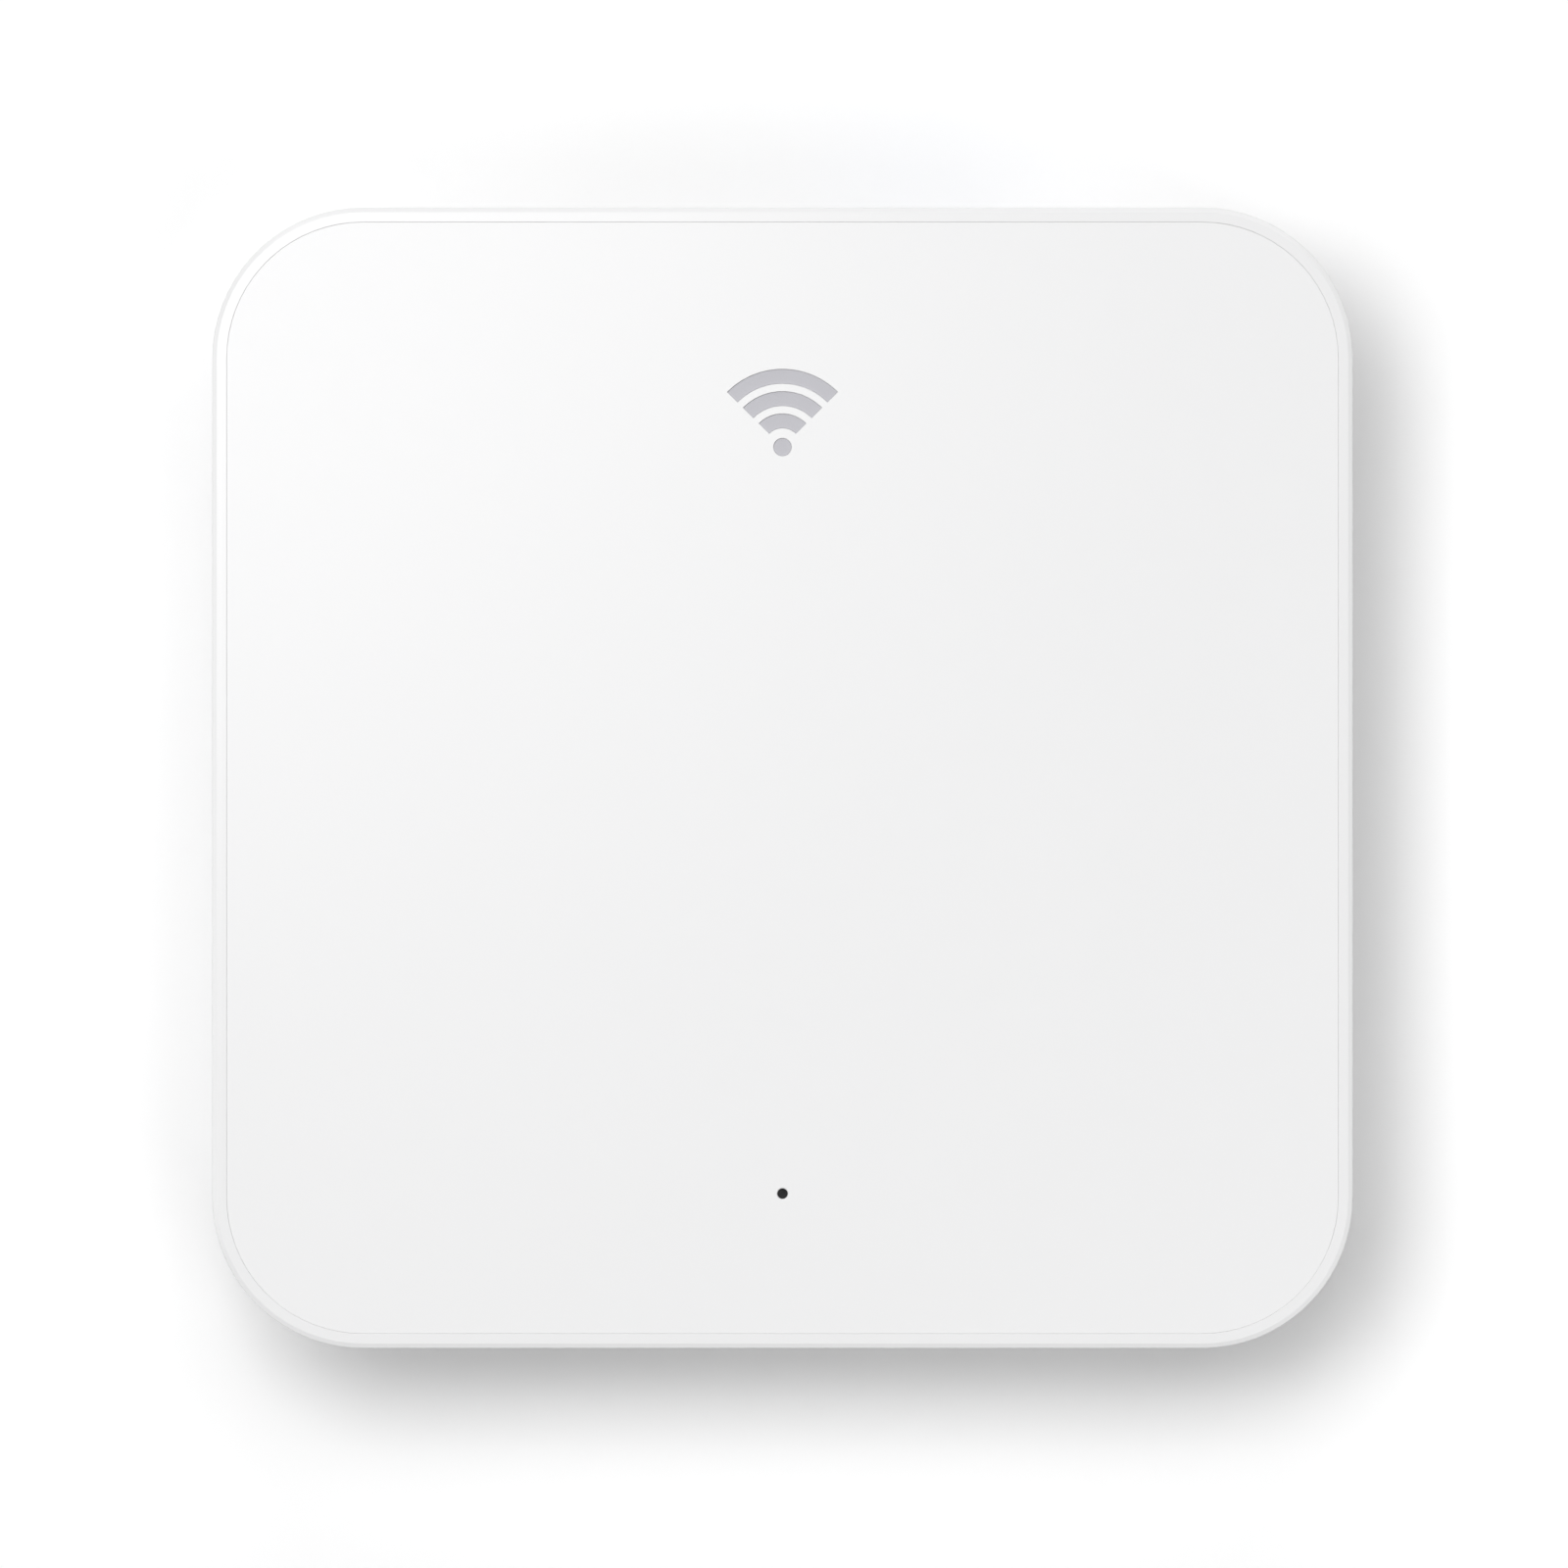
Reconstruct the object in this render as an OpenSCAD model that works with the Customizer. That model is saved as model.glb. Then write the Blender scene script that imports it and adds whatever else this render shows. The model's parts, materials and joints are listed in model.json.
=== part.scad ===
// Compact wireless router in a square, rounded case: a flush top panel set in
// a side frame, a bottom cover on rubber feet, a recessed port bay at the rear
// with one uplink and two network sockets, USB, power and a reset button, and
// the circuit board with two wall-mounted aerials inside.
// Millimetres. +Z is up and +Y is the rear. The origin is the centre of the
// footprint, at the level of the surface that the feet stand on.

/* [Case] */
// Width of the case, side to side
body_w = 110; // [110:0.5:116]
// Depth of the case, front to back
body_d = 110; // [110:0.5:116]
// Height of the case without its feet
body_h = 23; // [22.5:0.25:26]
// Plan radius of the case corners
corner_r = 14.5; // [13.5:0.25:15]
// Wall thickness of the side frame
wall = 2; // [1.8:0.1:2.2]
// Radius of the rounded lower edge of the bottom cover
base_round = 3; // [2.5:0.1:3.4]
// Width of the fine chamfer on the top outer edge
edge_w = 0.45; // [0.3:0.05:0.6]
// Gap of the seam between the side frame and the bottom cover
seam = 0.35; // [0.2:0.05:0.5]

/* [Top panel] */
// Width of the frame's rim that shows round the top panel
rim_w = 1.4; // [1.2:0.1:1.6]
// Thickness of the top panel
panel_t = 1.6; // [1.4:0.1:1.8]
// Gap between the top panel and the rim
panel_gap = 0.04; // [0.04:0.01:0.12]
// Outer radius of the signal mark
mark_r = 7.5; // [6:0.25:8.5]
// Stroke width of the signal mark
mark_w = 1.35; // [1:0.05:1.5]
// Depth of the mark's recess
mark_depth = 0.25; // [0.2:0.05:0.4]
// Distance of the mark's centre behind the middle of the case
mark_y = 35.2; // [30:0.2:38]
// Distance of the status light in front of the middle of the case
led_y = 40.1; // [38:0.1:42]
// Diameter of the status light's opening
led_d = 1; // [0.8:0.1:1.6]

/* [Feet and base] */
// Height that the feet stand below the bottom cover
foot_h = 1; // [0.8:0.1:1.5]
// Diameter of a foot
foot_d = 9.6; // [8:0.2:10]
// Number of vent slots in each bank
vent_n = 12; // [6:1:12]
// Width of a vent slot
vent_w = 1.6; // [1:0.1:2]
// Length of a vent slot
vent_l = 17; // [10:0.5:18]

/* [Rear ports] */
// Height of the network socket housings
jack_h = 13.4; // [13:0.1:13.4]
// Width of the network socket housings
jack_w = 15.5; // [15:0.1:15.5]
// Distance between the network sockets
jack_pitch = 16.2; // [16:0.1:16.2]
// Position of the uplink socket
wan_x = 14.5; // [14.3:0.1:14.6]
// Position of the USB socket
usb_x = -33.7; // [-33.8:0.1:-33.6]
// Position of the power socket
dc_x = 35.5; // [35.3:0.1:35.5]
// Diameter of the power socket's bore
dc_bore_d = 6.3; // [6:0.1:6.4]
// Diameter of the power socket's centre pin
dc_pin_d = 2; // [1.9:0.05:2.5]
// Position of the reset button
reset_x = 26.7; // [26.5:0.1:26.8]
// Diameter of the reset button
reset_d = 3; // [2.6:0.1:3.2]

/* [Hidden] */
$fn = 64;

// Levels
z0 = foot_h;                 // underside of the bottom cover
floor_t = 2;
z_floor = z0 + floor_t;
z_board = z_floor + 2;       // underside of the circuit board
board_t = 1.6;
z_top_board = z_board + board_t;
z_split = z0 + 4.8;          // top edge of the bottom cover's outer wall
z_top = z0 + body_h;
z_seat = z_top - panel_t - 0.1;
ledge_t = 1.2;
// Plan
hw = body_w/2;
hd = body_d/2;
cr = corner_r;
bay_x = 41.5;                // half width of the port bay
bay_z0 = z0 + 3.1;
bay_z1 = z_seat - 1;
bay_face = hd - 1;           // outer face of the port panel
jack_face = bay_face - 0.4;
flange_in = hd - 3.6;        // inner face of the port panel's flange
boss = [hw - 10, hd - 10.2];
post = [43.5, 33];
lan1_x = wan_x - jack_pitch;
lan2_x = wan_x - 2*jack_pitch;
reset_z = z_top_board + 4.4;
dc_z = z_top_board + 6.5;
ufl = [38, -12];

// ---- shapes shared by several parts ----

// Rounded rectangle, sharp where r is 0
module rrect(w, d, r) {
  square([w - 2*r, d], center = true);
  square([w, d - 2*r], center = true);
  for (x = [-1, 1], y = [-1, 1]) translate([x*(w/2 - r), y*(d/2 - r)]) circle(r);
}

// Carries a profile round the case outline. The profile's X is measured
// outward from the centre of the corner radius, so x = cr is the outer face.
module round_case() {
  for (i = [0:3]) {
    sx = (i == 0 || i == 3) ? 1 : -1;
    sy = (i < 2) ? 1 : -1;
    len = (i % 2 == 0) ? body_d - 2*cr : body_w - 2*cr;
    off = (i % 2 == 0) ? hw - cr : hd - cr;
    translate([sx*(hw - cr), sy*(hd - cr), 0]) rotate([0, 0, i*90])
      rotate_extrude(angle = 90) children();
    rotate([0, 0, i*90]) translate([off, len/2, 0]) rotate([90, 0, 0])
      linear_extrude(len) children();
  }
}

// Plate that fills the middle of what round_case() leaves open
module core(za, zb) {
  translate([-(hw - cr), -(hd - cr), za]) cube([body_w - 2*cr, body_d - 2*cr, zb - za]);
}

module box(x0, x1, y0, y1, za, zb) {
  translate([x0, y0, za]) cube([x1 - x0, y1 - y0, zb - za]);
}

// Cylinder along +Y from y0 to y1
module ycyl(x, z, r, y0, y1) {
  translate([x, y0, z]) rotate([-90, 0, 0]) cylinder(r = r, h = y1 - y0);
}

// Rounded rectangular prism along Y
module yprism(x, z, w, h, r, y0, y1) {
  translate([x, y1, z]) rotate([90, 0, 0]) linear_extrude(y1 - y0) rrect(w, h, r);
}

// Strip of sheet metal that follows 2D points, with round bends
module strip(pts, t) {
  for (i = [0:len(pts) - 2]) {
    d = pts[i + 1] - pts[i];
    translate(pts[i]) rotate(atan2(d[1], d[0])) translate([0, -t/2]) square([norm(d), t]);
  }
  for (i = [1:len(pts) - 2]) translate(pts[i]) circle(t/2, $fn = 24);
}

// Tube along a smooth curve through points
function lerp3(a, b, c, d, t) = 0.5*((2*b) + (c - a)*t + (2*a - 5*b + 4*c - d)*t*t + (3*b - a - 3*c + d)*t*t*t);
function smooth(p, k) = let (n = len(p)) concat(
  [for (i = [0:n - 2]) for (j = [0:k - 1])
    lerp3(p[max(i - 1, 0)], p[i], p[i + 1], p[min(i + 2, n - 1)], j/k)], [p[n - 1]]);
function unit(v) = v/norm(v);
function dir(p, i) = unit(p[min(i + 1, len(p) - 1)] - p[max(i - 1, 0)]);
function side(p, i, u) = unit(u - (u*dir(p, i))*dir(p, i));
function sides(p, i = 0, u = [0, 0, 1], acc = []) = i >= len(p) ? acc :
  let (s = side(p, i, u)) sides(p, i + 1, s, concat(acc, [s]));
module tube(route, r, k = 4, n = 8) {
  p = smooth(route, k);
  s = sides(p, 0, [0.2, 0.1, 1]);
  m = len(p);
  pts = [for (i = [0:m - 1]) let (a = s[i], b = cross(dir(p, i), a))
    for (j = [0:n - 1]) p[i] + r*(cos(360*j/n)*a + sin(360*j/n)*b)];
  quads = [for (i = [0:m - 2]) for (j = [0:n - 1])
    [i*n + j, i*n + (j + 1) % n, (i + 1)*n + (j + 1) % n, (i + 1)*n + j]];
  polyhedron(pts, concat([[for (j = [0:n - 1]) n - 1 - j]],
    [[for (j = [0:n - 1]) (m - 1)*n + j]],
    [for (q = quads) each [[q[0], q[1], q[2]], [q[0], q[2], q[3]]]]), convexity = 6);
}

// ---- case ----

// The three arcs and dot of the mark, from z to z + h, grown by g
module mark(z, h, g = 0) {
  translate([0, mark_y - mark_r*0.44, z]) {
    for (i = [0:2]) {
      ro = mark_r - i*(mark_w + (mark_r - 4*mark_w)/3 + 0.1);
      rotate([0, 0, 45 - g*3]) rotate_extrude(angle = 90 + g*6)
        translate([ro - mark_w - g, 0]) square([mark_w + 2*g, h]);
    }
    cylinder(r = mark_w*0.62 + g, h = h);
  }
}

module snap_hook() {
  // leg inside the ledge's inner edge and a barb below the ledge
  rotate([90, 0, 0]) translate([0, 0, -2]) linear_extrude(4) polygon([
    [-0.9, z_seat + 0.2], [-0.9, z_seat - ledge_t - 0.9], [-0.1, z_seat - ledge_t - 0.9],
    [0.75, z_seat - ledge_t - 0.2], [0.75, z_seat - ledge_t - 0.08],
    [-0.1, z_seat - ledge_t - 0.08], [-0.1, z_seat + 0.2]]);
}

module top_panel() {
  hx = cr - rim_w - panel_gap;
  zl = z_seat + 0.05;
  zt = z_top - 0.03;
  color("#f2f2f3") difference() {
    union() {
      round_case() polygon([[0, zl], [hx - 0.2, zl], [hx, zl + 0.2], [hx, zt - 0.04],
        [hx - 0.04, zt], [0, zt]]);
      core(zl, zt);
      // sleeve that holds the light pipe
      translate([0, -led_y, z_seat - 5]) cylinder(r = 2.4, h = 5.2);
      for (s = [0, 1], v = [-28, 0, 28]) mirror([s, 0, 0])
        translate([hw - cr + (cr - wall - 2.2), v, 0]) snap_hook();
      for (v = [-28, 0, 28]) translate([v, -(hd - wall - 2.2), 0]) rotate([0, 0, -90]) snap_hook();
    }
    mark(zt - mark_depth, mark_depth + 1, 0.04);
    translate([0, -led_y, z_seat - 6]) cylinder(r = 1.3, h = 6.4);
    translate([0, -led_y, z_seat]) cylinder(d = led_d, h = panel_t + 1);
    // countersink round the light opening
    translate([0, -led_y, zt - 0.08]) cylinder(r1 = led_d/2, r2 = led_d/2 + 0.12, h = 0.12);
  }
}

module frame_profile() {
  difference() {
    union() {
      translate([cr - wall, z_split + seam]) square([wall, z_seat - 0.2 - z_split - seam]);
      // rim, with the chamfer and the broken corner below it
      polygon([[cr - rim_w, z_seat - 0.5], [cr, z_seat - 0.5], [cr, z_top - edge_w*0.45],
        [cr - edge_w*0.1, z_top - edge_w*0.28], [cr - edge_w, z_top], [cr - rim_w, z_top]]);
      translate([cr - wall - 2.2, z_seat - ledge_t]) square([wall + 1, ledge_t]);
    }
    // seat for the top panel
    translate([0, z_seat]) square([cr - rim_w, 5]);
    // small chamfer inside the rim and at the seam
    translate([cr - rim_w, z_top]) rotate(45) square([0.057, 0.057], center = true);
    translate([cr, z_split + seam]) rotate(45) square([0.42, 0.42], center = true);
  }
}

module side_frame() {
  color("#f4f4f5") difference() {
    union() {
      round_case() frame_profile();
      for (x = [-1, 1], y = [-1, 1]) {
        translate([x*boss[0], y*boss[1], z_split + 0.25]) cylinder(r = 3, h = z_seat - z_split - 0.25);
        translate([x*boss[0], y*boss[1], z_split + 3]) rotate([0, 0, atan2(y, x)])
          translate([2, -0.9, 0]) cube([4.9, 1.8, z_seat - z_split - 3]);
      }
    }
    for (x = [-1, 1], y = [-1, 1]) translate([x*boss[0], y*boss[1], z_split])
      cylinder(r = 1.27, h = 9.5);
    // port bay
    yprism(0, (bay_z0 + bay_z1)/2, 2*bay_x, bay_z1 - bay_z0, 1.5, hd - wall - 0.5, hd + 1);
    box(-bay_x - 1.5, bay_x + 1.5, hd - 5, hd - wall, 0, z_seat + 0.5);
    // the opening runs down through the frame's lower edge
    box(-bay_x, bay_x, hd - wall - 0.5, hd + 1, 0, z_split + 3);
  }
}

module bottom_profile() {
  br = base_round;
  translate([0, z0]) square([cr - br, floor_t]);
  intersection() {
    translate([cr - br, z0 + br]) circle(br);
    translate([cr - br, z0]) square([br, br]);
  }
  translate([cr - 3.1, z_floor - 0.5]) square([3.1 - br + 0.6, z0 + br - z_floor + 0.5]);
  difference() {
    translate([cr - 3.1, z0 + br]) square([3.1, z_split - z0 - br]);
    translate([cr, z_split]) rotate(45) square([0.42, 0.42], center = true);
  }
  // lip inside the side frame
  translate([cr - 3.1, z_split - 0.5]) square([1, 1.7]);
}

module vent_bank() {
  for (i = [0:vent_n - 1]) translate([0, (i - (vent_n - 1)/2)*4]) {
    square([vent_l - vent_w, vent_w], center = true);
    for (s = [-1, 1]) translate([s*(vent_l - vent_w)/2, 0]) circle(vent_w/2);
  }
}

module feet_at() { for (x = [-1, 1], y = [-1, 1]) translate([x*(hw - 21.5), y*(hd - 9.8), 0]) children(); }

module bottom_cover() {
  color("#eeeeef") difference() {
    union() {
      round_case() bottom_profile();
      core(z0, z_floor);
      for (x = [-1, 1], y = [-1, 1]) {
        translate([x*boss[0], y*boss[1], z0 + 0.5]) cylinder(r = 4.3, h = z_split + 0.2 - z0 - 0.5);
        translate([x*post[0], y*post[1], z0 + 0.5]) cylinder(r = 3, h = z_board - z0 - 0.5);
      }
    }
    for (x = [-1, 1], y = [-1, 1]) {
      translate([x*boss[0], y*boss[1], z0 - 1]) cylinder(r = 3.1, h = 4.6);
      translate([x*boss[0], y*boss[1], z0]) cylinder(r = 1.5, h = 6);
      translate([x*post[0], y*post[1], z0 + 1.2]) cylinder(r = 1.02, h = 6);
    }
    for (s = [-1, 1]) translate([s*32, 0, z0 - 1]) linear_extrude(floor_t + 2) vent_bank();
    translate([0, 0, z0 - 1]) linear_extrude(1.25) rrect(36, 46, 2);
    feet_at() translate([0, 0, z0 - 1]) cylinder(d = foot_d + 0.3, h = 1.9);
    // port bay
    yprism(0, (bay_z0 + bay_z1)/2, 2*bay_x, bay_z1 - bay_z0, 1.5, hd - wall - 1.5, hd + 1);
    box(-bay_x - 1.5, bay_x + 1.5, hd - 5, hd - wall, z_floor, z_top);
  }
}

// Opening for a network socket's face
module jack_window(x) {
  yprism(x, z_top_board + jack_h/2, jack_w + 0.4, jack_h + 0.4, 0.4, flange_in - 1, hd + 1);
}

module port_panel() {
  color("#ececee") difference() {
    union() {
      yprism(0, (bay_z0 + bay_z1)/2, 2*bay_x - 0.2, bay_z1 - bay_z0 - 0.2, 1.4, flange_in, bay_face);
      box(-bay_x - 1.1, bay_x + 1.1, flange_in, hd - wall - 0.2, z_floor + 0.1, z_seat - 0.1);
    }
    for (x = [wan_x, lan1_x, lan2_x]) jack_window(x);
    yprism(usb_x, z_top_board + 2.95, 14.4, 7.3, 0.8, flange_in - 1, hd + 1);
    ycyl(dc_x, dc_z, 3.9, flange_in - 1, hd + 1);
    translate([dc_x, bay_face + 0.01, dc_z]) rotate([90, 0, 0]) cylinder(r1 = 4.3, r2 = 3.9, h = 0.4);
    ycyl(reset_x, reset_z, reset_d/2 + 0.2, flange_in - 1, hd + 1);
    translate([reset_x, bay_face + 0.01, reset_z]) rotate([90, 0, 0])
      cylinder(r1 = reset_d/2 + 0.7, r2 = reset_d/2 + 0.2, h = 0.5);
    // room behind the panel for the power socket and the board's edge
    box(-bay_x - 2, bay_x + 2, flange_in - 1, flange_in + 0.3, z_board - 0.3, z_top_board + 0.3);
  }
}

module top_mark() { color("#c3c2c8") mark(z_top - 0.03 - mark_depth, mark_depth - 0.13); }

module status_light_pipe() {
  color("#2c2c30") translate([0, -led_y, 0]) {
    translate([0, 0, z_top_board + 1.6]) cylinder(r = 1.25, h = z_seat + 0.3 - z_top_board - 1.6);
    translate([0, 0, z_seat]) cylinder(r = led_d/2 - 0.05, h = panel_t - 0.1);
    translate([0, 0, z_seat - 6]) cylinder(r = 1.6, h = 0.8);
  }
}

module light_pipe_boot() {
  color("#202022") translate([0, -led_y, z_top_board]) difference() {
    cylinder(r = 2.6, h = 4);
    translate([0, 0, -1]) cylinder(r = 1.45, h = 6);
  }
}

module status_led() {
  color("#f6f3e6") translate([0, -led_y, z_top_board]) {
    translate([-1, -0.6, 0]) cube([2, 1.2, 0.5]);
    translate([-0.65, -0.6, 0.4]) cube([1.3, 1.2, 0.5]);
  }
}

module rubber_feet() {
  color("#8d8e90") feet_at() rotate_extrude() difference() {
    union() {
      translate([0, 0.7]) square([foot_d/2, z0 + 0.2]);
      square([foot_d/2 - 0.7, 1]);
      translate([foot_d/2 - 0.7, 0.7]) circle(0.7);
    }
    translate([-10, -5]) square([10, 20]);
  }
}

module base_label() { color("#dcdde0") translate([0, 0, z0 + 0.08]) linear_extrude(0.17) rrect(35.4, 45.4, 1.8); }

// Pan-head screw with a cross recess, head down, head's bearing face at z = 0
module screw(head_r, head_h, shank_r, shank_l) {
  difference() {
    union() {
      translate([0, 0, -head_h + 0.5]) cylinder(r = head_r, h = head_h - 0.5);
      translate([0, 0, -head_h]) cylinder(r1 = head_r - 0.45, r2 = head_r, h = 0.5);
      translate([0, 0, -0.2]) cylinder(r = shank_r, h = shank_l - 0.8);
      translate([0, 0, shank_l - 1]) cylinder(r1 = shank_r, r2 = shank_r*0.35, h = 1);
    }
    for (a = [0, 90]) rotate([0, 0, a]) translate([-head_r*0.58, -0.32, -head_h - 1]) cube([head_r*1.16, 0.64, 1.9]);
  }
}

module case_screws() {
  color("#9a9ca0") for (x = [-1, 1], y = [-1, 1])
    translate([x*boss[0], y*boss[1], z0 + 3.6]) rotate([0, 0, 22*x + 13*y]) screw(2.4, 1.7, 1.25, 10);
}

module board_screws() {
  color("#b9bbbe") for (x = [-1, 1], y = [-1, 1])
    translate([x*post[0], y*post[1], z_top_board]) rotate([180, 0, 17*x + 31*y]) screw(2.2, 1.5, 1, 4);
}

// ---- board and what is soldered to it ----

module main_board() {
  color("#2f6b46") difference() {
    translate([0, 0, z_board]) linear_extrude(board_t) difference() {
      translate([-48, -46]) square([96, hd - 4.2 + 46]);
      for (x = [-1, 1]) {
        translate([x*45 - 5, boss[1] - 5]) square([10, 30]);
        translate([x*45 - 5, -boss[1] - 25]) square([10, 30]);
        for (y = [-1, 1]) translate([x*post[0], y*post[1]]) circle(1.3);
      }
    }
  }
}

module chip(x, y, w, d, h) { translate([x - w/2, y - d/2, z_top_board]) cube([w, d, h]); }

module leaded_chip(x, y, w, d, h, n, pitch) {
  union() {
    translate([x - w/2, y - d/2, z_top_board + 0.15]) cube([w, d, h - 0.15]);
    for (i = [0:n - 1]) translate([x + (i - (n - 1)/2)*pitch - 0.2, y - d/2 - 0.9, z_top_board]) cube([0.4, d + 1.8, 0.25]);
  }
}

module main_processor() { color("#26262a") chip(-2, -2, 15, 15, 1.2); }
module thermal_pad() { color("#b6a9c4") translate([-9, -9, z_top_board + 1.2]) cube([14, 14, 0.5]); }

module heatsink() {
  zb = z_top_board + 1.7;
  color("#3a3b3e") translate([-14, -14, zb]) {
    cube([24, 24, 1.6]);
    for (i = [0:6]) translate([i*3.7, 0, 0]) cube([1.4, 24, 7.6]);
    for (j = [0:1]) translate([0.2, j*18.6 + 2.2, 0]) cube([23, 1, 3]);
  }
}

module memory_chip() { color("#222226") chip(-2, -21, 12.5, 8.5, 1.1); }
module flash_chip() { color("#222226") leaded_chip(14, -22, 5.2, 5.3, 1.8, 4, 1.27); }
module regulator_chips() {
  color("#222226") for (p = [[16.5, 19], [24.8, 8.6]]) leaded_chip(p[0], p[1], 4.9, 3.9, 1.5, 4, 1.27);
}
module radio_chip() { color("#222226") chip(24, -7, 8, 8, 0.9); }

module shield_can(x, y, w, d) {
  translate([x - w/2, y - d/2, z_top_board]) difference() {
    cube([w, d, 2.6]);
    translate([0.25, 0.25, -1]) cube([w - 0.5, d - 0.5, 3.35]);
    for (i = [1:4], j = [1:3]) translate([i*w/5, j*d/4, 2]) cylinder(r = 0.55, h = 2);
  }
}

module shield_cans() { color("#c7c9cc") { shield_can(24, -7, 21, 18); shield_can(-26, -7, 17, 18); } }

module network_transformers() { color("#2a2a2e") { leaded_chip(10, 29.5, 17, 8, 5.2, 12, 1.27); leaded_chip(-13, 29.5, 17, 8, 5.2, 12, 1.27); } }

module crystals() {
  color("#cfd1d4") for (p = [[-16, -22], [33, -22]]) translate([p[0], p[1], z_top_board]) linear_extrude(1.1) rrect(3.2, 2.5, 0.3);
}

module power_inductors() {
  color("#4a4b50") for (p = [[25, 25], [25, 16], [33, 8]]) translate([p[0], p[1], z_top_board]) {
    linear_extrude(2.8) rrect(6.2, 6.2, 1);
    cylinder(r = 2.6, h = 3.3);
  }
}

module electrolytic_capacitors() {
  color("#2c3550") for (p = [[35, 29, 3.15, 9], [35, 20.5, 3.15, 9], [43, 22, 2.5, 7]])
    translate([p[0], p[1], z_top_board]) difference() {
      union() {
        cylinder(r = p[2], h = 0.8);
        cylinder(r = p[2] - 0.25, h = 1.6);
        translate([0, 0, 1.3]) cylinder(r = p[2], h = p[3] - 1.3);
      }
      for (a = [0, 90]) translate([0, 0, p[3]]) rotate([0, 0, a]) cube([p[2]*1.3, 0.3, 0.3], center = true);
    }
}

module chip_passives() {
  color("#b99b72") {
    for (i = [0:8]) translate([-13 + i*2.6, -15.9, z_top_board]) cube([1, 0.5, 0.5]);
    for (i = [0:5]) translate([11.6, -12 + i*2.2, z_top_board]) cube([0.5, 1, 0.5]);
    for (i = [0:5]) translate([-15.6, -12 + i*2.2, z_top_board]) cube([0.5, 1, 0.5]);
    for (i = [0:6]) translate([-9 + i*2.6, 12 + (i % 2)*1.6, z_top_board]) cube([1.6, 0.8, 0.8]);
    for (i = [0:4]) translate([16 + i*2.8, -27.5, z_top_board]) cube([1.6, 0.8, 0.8]);
    for (i = [0:3]) translate([-34 + i*3.4, -22 - (i % 2)*2, z_top_board]) cube([1.6, 0.8, 0.8]);
    for (i = [0:3]) translate([28 + i*3, 0 + 3.6, z_top_board]) cube([1, 0.5, 0.5]);
    for (i = [0:5]) translate([-30 + i*3.2, 9, z_top_board]) cube([1, 0.5, 0.5]);
    for (s = [-1, 1]) translate([s*4 - 0.8, -led_y - 0.4, z_top_board]) cube([1.6, 0.8, 0.5]);
  }
}

// ---- network sockets; front face at y = 0, board at z = 0 ----

module jack_housing(x) {
  translate([x, jack_face, z_top_board]) difference() {
    box(-jack_w/2, jack_w/2, -15.5, 0, 0, jack_h);
    box(-5.95, 5.95, -12.6, 1, 4.6, 11.6);   // plug
    box(-3.3, 3.3, -12.6, 1, 3, 4.8);        // latch shoulder
    box(-1.8, 1.8, -12.6, 1, 1.4, 3.2);      // latch tongue
    for (i = [0:7]) box((i - 3.5)*1.02 - 0.32, (i - 3.5)*1.02 + 0.32, -12.6, -2.4, 11.4, 12.7);
    // lead-in round the mouth
    translate([0, 0.01, 8.1]) rotate([90, 0, 0]) linear_extrude(0.35) square([12.6, 7.7], center = true);
    translate([0, 0.01, 3]) rotate([90, 0, 0]) linear_extrude(0.35) square([7.2, 3.6], center = true);
    // recesses in the side and top walls
    box(-jack_w/2 - 1, -jack_w/2 + 0.35, -13.5, -2, 2, 11.5);
    box(jack_w/2 - 0.35, jack_w/2 + 1, -13.5, -2, 2, 11.5);
  }
}

module jack_contacts(x) {
  for (i = [0:7]) translate([x + (i - 3.5)*1.02 - 0.23, jack_face, z_top_board]) rotate([90, 0, 90])
    linear_extrude(0.46) strip([[-12.3, 12.3], [-4.2, 12.3], [-3.4, 11.95], [-3.6, 11.5], [-10.6, 9.05], [-11.3, 9.1]], 0.3);
}

module usb_shell() {
  w = 13.1; h = 5.9; t = 0.35;
  color("#c9cbce") translate([usb_x, jack_face, z_top_board]) difference() {
    union() {
      yprism(0, h/2, w, h, 0.7, -13.8, 0);
      yprism(0, h/2, 14, 6.8, 1, -0.35, 0);
      for (s = [-1, 1]) box(s*(w/2 - 0.175) - 0.175, s*(w/2 - 0.175) + 0.175, -11, -9, 0, 1);
    }
    yprism(0, h/2, w - 2*t, h - 2*t, 0.4, -15, 1);
    for (s = [-1, 1]) {
      box(s*2.9 - 0.7, s*2.9 + 0.7, -6.5, -2.5, h - 1, h + 1);
      box(s*2.9 - 0.7, s*2.9 + 0.7, -6.5, -2.5, -1, 1);
    }
  }
}

module usb_tongue() {
  color("#f0efea") translate([usb_x, jack_face, z_top_board]) {
    difference() {
      box(-5.6, 5.6, -10, -1.2, 3.1, 4.95);
      for (i = [-3.5, -1, 1, 3.5]) box(i - 0.6, i + 0.6, -10.5, -1.6, 2, 3.25);
    }
    box(-6, 6, -13.6, -9.9, 0.6, 5.3);
  }
}

module usb_contacts() {
  color("#d9b45a") for (i = [-3.5, -1, 1, 3.5]) translate([usb_x + i - 0.5, jack_face, z_top_board])
    rotate([90, 0, 90]) linear_extrude(1) strip([[-9.8, 3.1], [-6, 3.1], [-4, 2.65], [-1.9, 3.1]], 0.22);
}

// ---- power socket ----

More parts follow.
